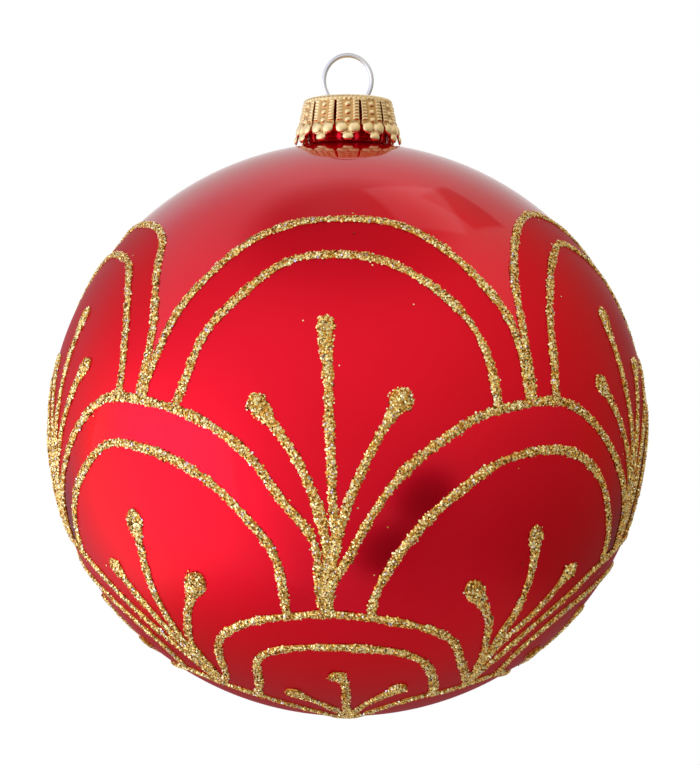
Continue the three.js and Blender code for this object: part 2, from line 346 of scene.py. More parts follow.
@dataclass(frozen=True)
class Metal:
    """A bare or thinly lacquered metal, with soft blotches in its colour and fine marks in its surface."""

    name: str
    light: str
    dark: str
    roughness: float
    blotch_size: float
    mark_size: float
    mark_depth: float
    mark_strength: float = 0.5
    # Colour of painted shade, laid on by the share in the shade attribute.
    painted_shade: str = ""

    def build(self) -> bpy.types.Material:
        """Makes the material."""
        sizes = self.blotch_size, self.mark_size
        bump = self.mark_strength, self.mark_depth
        skin = {"Roughness": self.roughness}
        return mottled_metal(self.name, (self.light, self.dark), sizes, bump, skin, self.painted_shade)


@dataclass(frozen=True)
class Foil:
    """One tone of the metallised polyester film that glitter is cut from, or a lighter or darker copy of
    the gold one that is painted glint or painted shade. Each flake has one plain tone, and the pattern
    comes from thousands of them at every tilt."""

    name: str
    colour: str
    roughness: float
    share: float

    def build(self) -> bpy.types.Material:
        """Makes the material."""
        material, tree = new_material(self.name)
        surface = {"Base Color": linear(self.colour), "Metallic": 1.0, "Roughness": self.roughness}
        foil = add_node(tree, "BsdfPrincipled", None, surface)
        add_node(tree, "OutputMaterial", None, {"Surface": foil.outputs[0]})
        return material


GLOSSY_LACQUER = RedLacquer("red_lacquer_glossy", "#FE0C28", "#F40A22", 0.4, 0.03, 0.8, 0.02)
# In the second row's borders the same lacquer was rubbed while it set, and mirrors less.
BORDER_LACQUER = RedLacquer("red_lacquer_border", "#F80A2A", "#F20622", 0.22, 0.05, 0.25, 0.02)
SATIN_LACQUER = RedLacquer("red_lacquer_satin", "#F00626", "#E6041E", 0.45, 0.3, 0.22, 0.25)
# Silver nitrate seen from inside the ball: a dull grey mirror.
SILVERING = Metal("silvering_inside", "#B9B4AE", "#8F8983", 0.35, 3.0, 0.4, 0.01)
# Tin plate under gold lacquer: the stamped relief has a soft, slightly grainy shine.
# Painted shade: brown gold in the low parts of the relief and on the lower flanks of its bumps.
GOLD_LACQUERED_TIN = Metal(
    "gold_lacquered_tin", "#FDE8B0", "#F3D28E", 0.22, 1.6, 0.18, 0.012, painted_shade="#BE853C"
)
# Hard-drawn steel wire, bright from the die.
BRIGHT_STEEL = Metal("bright_drawn_steel", "#E4E4E0", "#D8D8D4", 0.24, 0.8, 0.1, 0.003)


class Tone(Enum):
    """The tones of foil in the glitter, and the glue that holds it. Three of the golds are copies of the
    gold foil, one lighter and two darker: painted glint and painted shade on the flakes.
    """

    GLUE = Foil("glitter_glue_amber", "#D29C3C", 0.5, 0.0)
    GOLD = Foil("glitter_foil_gold", "#FFE07E", 0.28, 0.33)
    # Painted glint: a lighter copy of the gold foil.
    GLINT_GOLD = Foil("glitter_foil_painted_glint", "#FFF6B2", 0.24, 0.34)
    # Painted shade: a somewhat darker copy of the gold foil.
    HALF_SHADED_GOLD = Foil("glitter_foil_painted_half_shade", "#F0B64C", 0.32, 0.18)
    # Painted shade: a dark copy of the gold foil, for flakes in shade.
    SHADED_GOLD = Foil("glitter_foil_painted_shade", "#84541A", 0.36, 0.1)
    SILVER = Foil("glitter_foil_silver", "#FDFCFA", 0.2, 0.02)
    COPPER = Foil("glitter_foil_copper", "#F8B078", 0.3, 0.02)
    VIOLET = Foil("glitter_foil_violet_sheen", "#CCC7EA", 0.2, 0.01)


# ---- The ball and the pattern drawn on it ----


@dataclass(frozen=True)
class Ball:
    """Sizes of the blown ball and its neck, and where its surface lies."""

    width: float = 120.0
    height: float = 114.8
    wall: float = 0.8
    neck_width: float = 15.8
    neck_height: float = 8.0
    neck_fillet: float = 1.2

    @property
    def lift(self) -> float:
        """Height of the ball's centre in the row frame."""
        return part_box("glass_ball")[0].z / MM + self.half_height

    @property
    def radius(self) -> float:
        """Radius at the equator."""
        return self.width / 2

    @property
    def half_height(self) -> float:
        """Height of the pole above the centre."""
        return self.height / 2

    @property
    def neck_rim(self) -> float:
        """Height of the neck's rim above the centre."""
        return self.dome(self.neck_width / 2) + self.neck_height

    def dome(self, distance: float) -> float:
        """Height of the ball's upper half at a distance from its axis."""
        return self.half_height * math.sqrt(1 - (distance / self.radius) ** 2)

    def surface(self, longitude: Array, latitude: Array) -> Array:
        """Points on the ball: cosine and sine of the angles, times the radius and the half height."""
        turn, rise = np.radians(longitude), np.radians(latitude)
        reach = self.radius * np.cos(rise)
        return np.stack([reach * np.sin(turn), -reach * np.cos(turn), self.half_height * np.sin(rise)], -1)

    def angles(self, points: Array) -> tuple[Array, Array]:
        """Longitudes and latitudes of points on the ball or near it."""
        longitude = np.degrees(np.arctan2(points[:, 0], -points[:, 1]))
        reach = np.hypot(points[:, 0], points[:, 1])
        rise = np.arctan2(points[:, 2] / self.half_height, reach / self.radius)
        return longitude, np.degrees(rise)

    def outward(self, points: Array) -> Array:
        """Directions straight out of the ellipsoid: each coordinate over its half axis squared."""
        return unit(points / np.array([self.radius, self.radius, self.half_height]) ** 2)


@dataclass(frozen=True)
class Arch:
    """How an arch is drawn. A larger shoulder squares it, and a smaller fall keeps it high for longer."""

    shoulder: float
    fall: float

    def path(self, share: Array, half: float, top: float, foot: float) -> tuple[Array, Array]:
        """Offsets in longitude, and latitudes, from the left foot to the right one.

        With an angle that runs from -90 to 90 degrees, the offset is its sine to the power 2 / shoulder,
        and the rise above the feet is its cosine to the power 2 * fall.
        """
        angle = np.pi * (share - 0.5)
        across = np.sign(angle) * np.abs(np.sin(angle)) ** (2 / self.shoulder)
        rise = np.maximum(np.cos(angle), 0) ** (2 * self.fall)
        return half * across, foot + (top - foot) * rise

    def latitude(self, offset: Array, half: float, top: float, foot: float) -> Array:
        """Latitude of the arch at offsets in longitude, and of its feet beyond them."""
        share = np.minimum(np.abs(offset) / half, 1)
        return foot + (top - foot) * (1 - share**self.shoulder) ** self.fall


@dataclass(frozen=True)
class InnerArch:
    """A row's inner arches: half their width, and how they are drawn."""

    half: float
    arch: Arch


def smooth_step(value: Array, start: float, end: float) -> Array:
    """Rises from 0 at the start to 1 at the end, level at both."""
    share = np.clip((value - start) / (end - start), 0, 1)
    return share * share * (3 - 2 * share)


@dataclass(frozen=True)
class Slip:
    """A place where the painter's hand strayed: how far east and north, and over what distance."""

    longitude: float
    latitude: float
    east: float
    north: float
    reach: float


@dataclass(frozen=True)
class Hand:
    """How the painter's hand departed from an even pattern, all in degrees.

    The scales beside the front are squeezed towards it, and the rings are closed by wider ones at the
    back. Near the bottom the front scale is narrower and sits higher. Single slips come on top.
    """

    side_squeeze: float = 4.3
    side_from: float = 28.0
    side_width: float = 22.0
    high_delay: float = 20.0
    high_from_to: tuple[float, float] = (15.0, 35.0)
    side_ease: float = 75.0
    foot_squeeze: float = 0.2
    foot_middle: float = 8.0
    foot_reach: float = 45.0
    foot_lift: float = 3.0
    foot_from: float = -16.0
    foot_to: float = -34.0
    slips: tuple[Slip, ...] = (
        Slip(-2.3, 29, -1.3, 1.7, 7),
        Slip(-25, 37, 1.6, -1.4, 12),
        Slip(26, 27, 1.0, 1.0, 8),
        Slip(-42, 29, -0.8, 0.0, 12),
        Slip(-24, 21, 1.5, -0.3, 6),
        Slip(-37, 14, -1.6, 0.0, 7),
        Slip(-38, 38, -2.2, 0.0, 7),
        Slip(56, 46, -0.3, 0.8, 8),
        Slip(14, 9, 0.6, -0.9, 6),
        Slip(-16, -44, 0.0, -2.0, 9),
        Slip(26, -42, 0.4, -2.0, 9),
        Slip(-7, -1, 0.8, 0.3, 4.5),
        Slip(11, -2, 0.9, -0.7, 9),
        Slip(-2.3, -11, -1.2, 0.8, 5),
        Slip(-12, 19, -1.6, 0.3, 6),
        Slip(8, 19, 0.8, 1.2, 6),
        Slip(-22, -11, 0.9, 3.2, 4.5),
        Slip(-29, -19, 1.4, 0.3, 5),
        Slip(-32, -2, -0.8, 1.6, 5),
        Slip(-42, -12, -1.6, 0.8, 6),
        Slip(17.5, -11, -0.7, 2.6, 4.5),
        Slip(25, -22, -1.4, 0.4, 5),
        Slip(24, -30, -0.8, -2.4, 8),
        Slip(38, -12, 2.2, 0.8, 6),
        Slip(-28, -32, 3.0, -3.6, 8),
        Slip(-12.5, -36, -2.6, 0.4, 5),
        Slip(-2.3, -28, -1.5, -0.8, 4),
        Slip(8, -36, 2.6, 1.4, 5),
        Slip(-60, 46, 0.0, -2.0, 12),
        Slip(-53, 17, 0.0, 2.2, 8),
    )
    # On the back and the sides the hand strays by chance.
    chance_slips: int = 36
    chance_size: float = 1.1
    chance_reach: float = 13.0
    chance_longitudes: tuple[float, float] = (75, 285)
    chance_latitudes: tuple[float, float] = (-45, 48)
    chance_seed: int = 11

    def all_slips(self) -> list[Slip]:
        """The slips, with the chance ones away from the front."""
        rng = np.random.default_rng(self.chance_seed)
        turn = rng.uniform(*self.chance_longitudes, self.chance_slips)
        rise = rng.uniform(*self.chance_latitudes, self.chance_slips)
        size = rng.normal(0, self.chance_size, (self.chance_slips, 2))
        by_chance = [
            Slip(float(a), float(b), float(c[0]), float(c[1]), self.chance_reach)
            for a, b, c in zip(turn, rise, size)
        ]
        return [*self.slips, *by_chance]

    def shift(self, longitude: Array, latitude: Array) -> tuple[Array, Array]:
        """How far the hand is off at places of the even pattern.

        The squeezes are smooth steps and bell curves of the longitude, and each slip is a bell curve
        of the distance from its middle.
        """
        turned = (longitude + 180) % 360 - 180
        side = np.abs(turned)
        start = self.side_from + self.high_delay * smooth_step(latitude, *self.high_from_to)
        squeeze = smooth_step(side, start, start + self.side_width)
        squeeze *= 1 - smooth_step(side, self.side_ease, 180.0)
        east = -self.side_squeeze * np.sign(turned) * squeeze
        low = smooth_step(-latitude, -self.foot_from, -self.foot_to)
        from_middle = turned - self.foot_middle
        bell = np.exp(-((from_middle / self.foot_reach) ** 2))
        east -= self.foot_squeeze * from_middle * bell * low
        north = self.foot_lift * low
        for slip in self.all_slips():
            across = (turned - slip.longitude + 180) % 360 - 180
            across *= math.cos(math.radians(slip.latitude))
            near = np.exp(-(across**2 + (latitude - slip.latitude) ** 2) / slip.reach**2)
            east += slip.east * near
            north += slip.north * near
        return east, north


@dataclass
class Line:
    """One drawn line of glue and glitter: points along its middle, and how much wider than usual it is."""

    points: Array
    swell: Array


@dataclass(frozen=True)
class ScalePattern:
    """Rows of fish scales, each an outer arch, an inner arch and a spray of three strokes."""

    ball: Ball
    scales: int = 6
    turn: float = -2.3
    tops: tuple[float, ...] = (48.2, 16.5, -14.0, -37.6)
    last_feet: float = -60.0
    foot_spacing: float = 0.7
    outer: tuple[Arch, ...] = (Arch(2.6, 0.4), Arch(2.4, 0.6), Arch(2.2, 0.7), Arch(2.2, 0.7))
    inner: tuple[InnerArch, ...] = (
        InnerArch(24.2, Arch(2.2, 0.46)),
        InnerArch(24.0, Arch(2.2, 0.5)),
        InnerArch(21.0, Arch(2.2, 0.5)),
    )
    inner_drop: float = 7.0
    spray_spread: float = 10.0
    spray_curl: float = 2.3
    spray_foot_lift: float = 3.0
    middle_head_share: float = 0.6
    side_head_share: float = 0.93
    head_swell: float = 1.35
    head_middle: float = 0.95
    head_length: float = 0.055
    steps: int = 500
    hand: Hand = Hand()

    @property
    def pitch(self) -> float:
        """Degrees of longitude for each scale."""
        return 360 / self.scales

    @property
    def outer_half(self) -> float:
        """Half the width of an outer arch, so that two lines come together at each foot."""
        return self.pitch / 2 - math.degrees(self.foot_spacing / 2 / self.ball.radius)

    @property
    def levels(self) -> tuple[float, ...]:
        """The rows' tops, then the last row's feet. A row's feet stand on the row below."""
        return *self.tops, self.last_feet

    def middle(self, row: int, scale: float) -> float:
        """Longitude of a scale's middle. Every second row is turned by half a scale."""
        return self.pitch * (scale + (row % 2) / 2) + self.turn

    def offset(self, row: int, longitude: Array) -> Array:
        """Degrees from the middle of the nearest scale of a row."""
        return (longitude - self.middle(row, 0) + self.pitch / 2) % self.pitch - self.pitch / 2

    def outer_latitude(self, row: int, offset: Array) -> Array:
        """Latitude of a row's outer arches at offsets from their middles."""
        top, foot = self.levels[row : row + 2]
        return self.outer[row].latitude(offset, self.outer_half, top, foot)

    def inner_size(self, row: int) -> tuple[float, float, float]:
        """Half width, top and foot of a row's inner arches. Their feet stand on the next row's arches."""
        half = self.inner[row].half
        foot = float(self.outer_latitude(row + 1, np.array(self.pitch / 2 - half)))
        return half, self.tops[row] - self.inner_drop, foot

    def finish(self, longitude: Array, latitude: Array) -> Array:
        """Says which lacquer is where: glossy (0), satin inside the scales (1), or the second row's
        borders (2).

        The place on the glass is first led back to its place in the even pattern.
        """
        place = longitude, latitude
        for _ in range(3):
            east, north = self.hand.shift(*place)
            place = longitude - east, latitude - north
        longitude, latitude = place
        finish = np.zeros(longitude.shape, int)
        for row in range(len(self.tops)):
            offset = self.offset(row, longitude)
            within = latitude < self.outer_latitude(row, offset)
            finish = np.where(within, 1, finish)
            if row == 1:
                half, top, foot = self.inner_size(row)
                inside = latitude < self.inner[row].arch.latitude(offset, half, top, foot)
                finish = np.where(within & ~(inside & (np.abs(offset) < half)), 2, finish)
        return finish

    def line(self, longitude: Array, latitude: Array, swell: Array | None = None) -> Line:
        """A line through places of the even pattern, as the hand drew it."""
        east, north = self.hand.shift(longitude, latitude)
        points = self.ball.surface(longitude + east, latitude + north)
        return Line(points, np.ones(len(points)) if swell is None else swell)

    def outer_line(self, row: int, scale: int) -> Line:
        """The line of one outer arch."""
        share = np.linspace(0, 1, self.steps)
        offset, latitude = self.outer[row].path(share, self.outer_half, *self.levels[row : row + 2])
        return self.line(self.middle(row, scale) + offset, latitude)

    def inner_line(self, row: int, scale: int) -> Line:
        """The line of one inner arch."""
        share = np.linspace(0, 1, self.steps)
        offset, latitude = self.inner[row].arch.path(share, *self.inner_size(row))
        return self.line(self.middle(row, scale) + offset, latitude)

    def stroke(self, row: int, scale: int, spread: float, head_share: float) -> Line:
        """One stroke of a spray, from its foot to its swollen head.

        The latitude climbs evenly, the offset grows as a power of the share climbed, and the width gets
        a bell-shaped swell near the head.
        """
        share = np.linspace(0, 1, self.steps)
        foot = self.levels[row + 2] + self.spray_foot_lift
        head = self.tops[row] - head_share * (self.tops[row] - self.levels[row + 1])
        longitude = self.middle(row, scale) + spread * share**self.spray_curl
        swell = 1 + self.head_swell * np.exp(-(((share - self.head_middle) / self.head_length) ** 2))
        return self.line(longitude, foot + (head - foot) * share, swell)

    def spray_lines(self, row: int, scale: int) -> list[Line]:
        """The three strokes of one spray."""
        return [
            self.stroke(row, scale, -self.spray_spread, self.side_head_share),
            self.stroke(row, scale, 0, self.middle_head_share),
            self.stroke(row, scale, self.spray_spread, self.side_head_share),
        ]

    def nodes(self) -> Iterator[tuple[str, list[Line]]]:
        """Each glitter node's name, with the lines that it holds."""
        last = len(self.tops) - 1
        for row in range(last + 1):
            label = f"row_{row + 1}"
            yield f"{label}_scallops", [self.outer_line(row, s) for s in range(self.scales)]
            if row == last:
                return
            for scale in range(self.scales):
                yield f"{label}_inner_arch_{scale + 1}", [self.inner_line(row, scale)]
                yield f"{label}_spray_{scale + 1}", self.spray_lines(row, scale)


@dataclass
class GlassShell:
    """The blown glass ball with its neck, lacquered outside and silvered inside."""

    ball: Ball
    pattern: ScalePattern
    columns: int = 320
    dome_rows: int = 180
    inside_rows: int = 48
    fillet_rows: int = 5
    bright_fillet_rows: int = 3
    neck_rows: int = 7
    rim_rows: int = 6

    def skin_profile(self, width: float, height: float, tube: float, rows: int) -> Array:
        """Radius and height of points from a bottom pole up to the neck, short of its rim.

        An ellipse runs up to the neck's foot. There a quarter circle turns hollow into the neck, and a
        straight line goes up the tube.
        """
        fillet = self.ball.neck_fillet
        end = math.acos((tube + fillet) / width)
        angle = np.linspace(-np.pi / 2, end, rows)
        dome = np.stack([width * np.cos(angle), height * np.sin(angle)], 1)
        turn = np.linspace(0, np.pi / 2, self.fillet_rows + 1)[1:]
        hollow = dome[-1] + fillet * np.stack([-np.sin(turn), 1 - np.cos(turn)], 1)
        climb = np.linspace(hollow[-1, 1], self.ball.neck_rim - self.ball.wall / 2, self.neck_rows)[1:]
        return np.vstack([dome, hollow, np.stack([np.full(len(climb), tube), climb], 1)])

    def profile(self) -> tuple[Array, int]:
        """The closed profile, from the outer bottom pole round to the inner one.

        Returns:
            Its points, and the number of the first one that lies inside.
        """
        ball = self.ball
        tube, wall = ball.neck_width / 2, ball.wall
        outside = self.skin_profile(ball.radius, ball.half_height, tube, self.dome_rows)
        inside = self.skin_profile(
            ball.radius - wall, ball.half_height - wall, tube - wall, self.inside_rows
        )
        # The rim is fire-polished: half a circle, from the outside over to the inside.
        turn = np.linspace(0, np.pi, self.rim_rows + 2)[1:-1]
        middle = np.array([tube - wall / 2, ball.neck_rim - wall / 2])
        rim = middle + wall / 2 * np.stack([np.cos(turn), np.sin(turn)], 1)
        return np.vstack([outside, rim, inside[::-1]]), len(outside) + len(rim)

    def build(self) -> bpy.types.Object:
        """Turns the profile about the axis, and parts the glossy lacquer from the satin under the lines."""
        profile, inside_from = self.profile()
        rings = profile[1:-1]
        turn = np.radians(np.arange(self.columns) * 360 / self.columns)
        across = np.stack([np.sin(turn), -np.cos(turn)], 1)
        flat = rings[:, None, 0, None] * across
        height = np.broadcast_to(rings[:, None, 1, None], (len(rings), self.columns, 1))
        corners = np.concatenate([flat, height], 2).reshape(-1, 3)
        quads = grid_faces(len(rings), self.columns, closed=True)
        poles = np.array([[0, 0, profile[0, 1]], [0, 0, profile[-1, 1]]])
        after = (np.arange(self.columns) + 1) % self.columns
        last = (len(rings) - 1) * self.columns
        bottom = np.full(self.columns, len(corners))
        fans = np.stack([bottom, after, np.arange(self.columns)], 1)
        inner_fans = np.stack([bottom + 1, last + np.arange(self.columns), last + after], 1)

        row = np.repeat(np.arange(len(rings) - 1), self.columns)
        finish = self.pattern.finish(*self.ball.angles(corners[quads].mean(1)))
        # The neck and the end of its fillet are bright, as the borders are.
        finish = np.where(row >= self.dome_rows + self.fillet_rows - self.bright_fillet_rows, 2, finish)
        finish = np.where(row >= inside_from - 1, 3, finish)

        shape = Shape()
        shape.add(
            np.vstack([corners, poles]),
            [quads, np.vstack([fans, inner_fans])],
            [finish, np.repeat([1, 3], self.columns)],
        )
        log.info("glass_shell: %d triangles", shape.triangles())
        finishes = [GLOSSY_LACQUER, SATIN_LACQUER, BORDER_LACQUER, SILVERING]
        return shape.piece("glass_shell", self.ball.lift, [finish.build() for finish in finishes])


# ---- Glitter ----


@dataclass
class DrawnLine:
    """A line as the hand drew it: for each point its distance along the line, its place, the directions
    out of the glass and to the side, and half the line's width."""

    distance: Array
    points: Array
    out: Array
    side: Array
    half: Array

    def at(self, distance: Array) -> tuple[Array, Array, Array, Array]:
        """Places, directions out and to the side, and half widths at distances along the line."""
        places, out, side = (
            along_path(values, self.distance, distance) for values in (self.points, self.out, self.side)
        )
        return places, out, side, np.interp(distance, self.distance, self.half)


@dataclass
class GlitterWork:
    """Lines of glue drawn by hand on the glass and strewn with cut foil."""

    ball: Ball
    pattern: ScalePattern
    line_width: float = 1.36
    glue_height: float = 0.24
    glue_step: float = 0.5
    glue_sides: int = 9
    flake_width: float = 0.38
    flake_depth: float = 0.08
    flakes_per_mm2: float = 25.0
    tilt: float = 0.36
    # How far flakes lie past the edge of the glue, as a share of its half width.
    raggedness: float = 0.11
    # How far the hand strays sideways, and how much its pressure varies.
    stray: float = 0.16
    stray_spacing: float = 9.0
    pressure: float = 0.09
    pressure_spacing: float = 3.2
    edge_spacing: float = 0.9
    edge_roughness: float = 0.09
    width_limits: tuple[float, float] = (0.7, 1.4)
    # The glue is a little narrower than the flakes on it, and sunk a little into the glass.
    glue_share: float = 0.94
    glue_sink: float = 0.04
    # Flakes differ in size, stand at chance heights in the glue, and lean out over its edges.
    flake_sizes: tuple[float, float] = (0.72, 1.15)
    flake_heights: tuple[float, float] = (0.02, 0.13)
    edge_lift: float = 0.05
    edge_lean: float = 0.75
    # Loose flakes, which fell beside the lines.
    loose_flakes: int = 260
    loose_from: float = 1.1
    loose_reach: float = 1.6
    loose_share: float = 0.9
    loose_tilt: float = 0.12
    loose_height: float = 0.1
    loose_seed: int = 77

    def drawn(self, line: Line, rng: np.random.Generator) -> DrawnLine:
        """Draws a planned line with an unsteady hand."""
        distance = travelled(line.points)
        out = self.ball.outward(line.points)
        side = unit(np.cross(np.gradient(line.points, axis=0), out))
        shift = wander(rng, distance, self.stray_spacing, self.stray)
        points = line.points + side * shift[:, None]
        width = 1 + wander(rng, distance, self.pressure_spacing, self.pressure)
        width += wander(rng, distance, self.edge_spacing, self.edge_roughness)
        # Both ends are round: the width follows a circle over the last half width.
        half = self.line_width / 2 * line.swell * np.clip(width, *self.width_limits)
        to_end = np.minimum(distance, distance[-1] - distance)
        round_off = np.sqrt(np.clip(1 - (1 - np.minimum(to_end / half, 1)) ** 2, 0.01, 1))
        return DrawnLine(distance, points, out, side, half * round_off)

    def glue(self, shape: Shape, drawn: DrawnLine) -> None:
        """Lays the glue: half an ellipse carried along the line, closed underneath and at both ends."""
        length = drawn.distance[-1]
        count = max(int(length / self.glue_step), 8)
        places, outs, sides, halves = drawn.at(np.linspace(0, length, count))
        turn = np.linspace(0, np.pi, self.glue_sides)
        across = (halves[:, None] * self.glue_share)[..., None]
        offset = -np.cos(turn)[None, :, None] * across * sides[:, None]
        swelled = np.sqrt(halves / (self.line_width / 2))[:, None] * np.sin(turn) * self.glue_height
        rings = places[:, None] + offset + (swelled - self.glue_sink)[..., None] * outs[:, None]
        corners = rings.reshape(-1, 3)
        quads = grid_faces(count, self.glue_sides, closed=True)[:, ::-1]
        start = np.arange(self.glue_sides)[None]
        ends = np.vstack([start, (start + (count - 1) * self.glue_sides)[:, ::-1]])
        shape.add(corners, [quads, ends])

    def scatter(
        self,
        shape: Shape,
        places: Array,
        normals: Array,
        rng: np.random.Generator,
        width: float,
    ) -> None:
        """Adds a flake at each place: a square that faces its normal, closed by a shallow point behind."""
        count = len(places)
        tones = list(Tone)
        shares = np.array([tone.value.share for tone in tones])
        tone = rng.choice(len(tones), count, p=shares / shares.sum())
        size = width * rng.uniform(*self.flake_sizes, count) / 2
        first = unit(np.cross(normals, rng.normal(size=(count, 3))))
        second = np.cross(normals, first)
        turn = np.radians(np.arange(4) * 90)
        around = np.cos(turn)[:, None] * first[:, None] + np.sin(turn)[:, None] * second[:, None]
        rim = places[:, None] + around * size[:, None, None]
        point = places - normals * self.flake_depth
        corners = np.concatenate([rim, point[:, None]], 1).reshape(-1, 3)
        start = np.arange(count)[:, None] * 5
        tops = start + np.arange(4)
        next_ones, points = start + (np.arange(4) + 1) % 4, start + np.full(4, 4)
        sides = np.stack([next_ones, tops, points], -1)
        shape.add(corners, [tops, sides.reshape(-1, 3)], [tone, np.repeat(tone, 4)])

    def strew(self, shape: Shape, drawn: DrawnLine, rng: np.random.Generator) -> None:
        """Strews flakes over one line of glue.

        A place along the line is drawn in proportion to the width there, and a place across it evenly,
        with some past both edges. The flake lies on the glue's round back, then tilts at random.
        """
        widths = drawn.half[1:] + drawn.half[:-1]
        area = np.concatenate([[0], np.cumsum(np.diff(drawn.distance) * widths)])
        count = int(area[-1] * self.flakes_per_mm2)
        at = np.interp(rng.uniform(0, area[-1], count), area, drawn.distance)
        place, outward, sideways, reach = drawn.at(at)
        across = rng.uniform(-1, 1, count) + rng.normal(0, self.raggedness, count)
        back = np.sqrt(np.clip(1 - across**2, 0, 1))
        height = np.sqrt(reach / (self.line_width / 2)) * back * self.glue_height
        height += rng.uniform(*self.flake_heights, count) + self.edge_lift * (1 - back)
        where = place + sideways * (across * reach)[:, None] + outward * height[:, None]
        lean = outward + sideways * (self.edge_lean * across)[:, None]
        normals = unit(lean + rng.normal(0, self.tilt, (count, 3)))
        self.scatter(shape, where, normals, rng, self.flake_width)

    def build(self, materials: list[bpy.types.Material]) -> Iterator[bpy.types.Object]:
        """Makes one piece for each glitter node.

        Args:
            materials: The glue and the foils, in the order of Tone.

        Yields:
            The pieces, each named for the node that it replaces, with "_glitter" after it.
        """
        for seed, (node, lines) in enumerate(self.pattern.nodes()):
            rng = np.random.default_rng(seed + 1)
            shape = Shape()
            for line in lines:
                drawn = self.drawn(line, rng)
                self.glue(shape, drawn)
                self.strew(shape, drawn, rng)
            yield self.finished(shape, node, materials)

    def finished(
        self, shape: Shape, node: str, materials: list[bpy.types.Material]
    ) -> bpy.types.Object:
        """Makes a node's glitter, in the place of the node."""
        piece = shape.piece(f"{node}_glitter", self.ball.lift, materials, smooth=False)
        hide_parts(node)
        log.info("%s: %d triangles", piece.name, shape.triangles())
        return piece

    def strays(self, materials: list[bpy.types.Material]) -> bpy.types.Object:
        """Makes the loose flakes that stuck to the lacquer near the lines."""
        rng = np.random.default_rng(self.loose_seed)
        shape = Shape()
        lines = [line for _, group in self.pattern.nodes() for line in group]
        chosen = rng.choice(len(lines), self.loose_flakes)
        places = np.stack([lines[i].points[rng.integers(0, len(lines[i].points))] for i in chosen])
        outward = self.ball.outward(places)
        sideways = unit(np.cross(outward, rng.normal(size=(len(places), 3))))
        away = self.loose_from + rng.exponential(self.loose_reach, len(places))
        places = places + sideways * away[:, None]
        on_glass = self.ball.surface(*self.ball.angles(places))
        out = self.ball.outward(on_glass)
        tilted = unit(out + rng.normal(0, self.loose_tilt, (len(out), 3)))
        raised = on_glass + out * self.loose_height
        self.scatter(shape, raised, tilted, rng, self.flake_width * self.loose_share)
        piece = shape.piece("loose_flakes", self.ball.lift, materials, smooth=False)
        log.info("loose_flakes: %d triangles", shape.triangles())
        return piece


# ---- Cap ----


